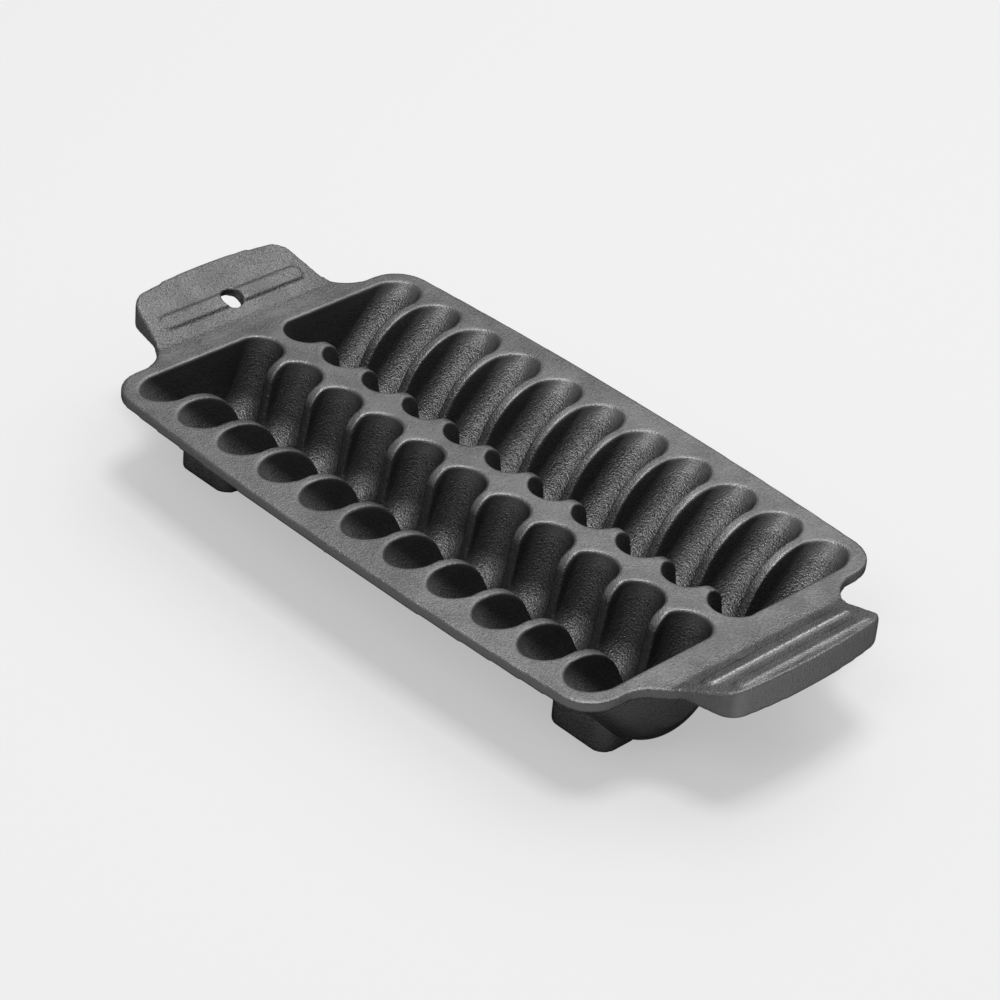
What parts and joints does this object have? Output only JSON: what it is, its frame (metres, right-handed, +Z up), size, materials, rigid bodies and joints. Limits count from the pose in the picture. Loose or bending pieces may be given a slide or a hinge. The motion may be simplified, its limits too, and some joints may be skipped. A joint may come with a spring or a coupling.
{
  "type": "cast iron shrimp pan",
  "caption": "Cast iron pan with two rows of deep curled wells for cooking shrimp upright, a tilted ribbed handle at each end, and low feet.",
  "frame": {"origin": "under the middle of the pan, on the surface that its four feet stand on", "axes": "+X along the pan towards the plain handle, +Y across the pan, +Z up"},
  "size_m": [0.3234, 0.156, 0.05],
  "materials": {
    "cast_iron": "sand-cast, dark seasoned"
  },
  "bodies": {
    "root": {"rim_plate": "cast_iron", "hanging_handle": "cast_iron", "plain_handle": "cast_iron", "hanging_handle_rib": "cast_iron", "plain_handle_inner_rib": "cast_iron", "plain_handle_outer_rib": "cast_iron", "left_hanging_foot": "cast_iron", "right_hanging_foot": "cast_iron", "left_plain_foot": "cast_iron", "right_plain_foot": "cast_iron", "left_well_01": "cast_iron", "left_well_02": "cast_iron", "left_well_03": "cast_iron", "left_well_04": "cast_iron", "left_well_05": "cast_iron", "left_well_06": "cast_iron", "left_well_07": "cast_iron", "left_well_08": "cast_iron", "left_well_09": "cast_iron", "left_well_10": "cast_iron", "left_well_11": "cast_iron", "right_well_01": "cast_iron", "right_well_02": "cast_iron", "right_well_03": "cast_iron", "right_well_04": "cast_iron", "right_well_05": "cast_iron", "right_well_06": "cast_iron", "right_well_07": "cast_iron", "right_well_08": "cast_iron", "right_well_09": "cast_iron", "right_well_10": "cast_iron", "right_well_11": "cast_iron"}
  },
  "joints": []
}
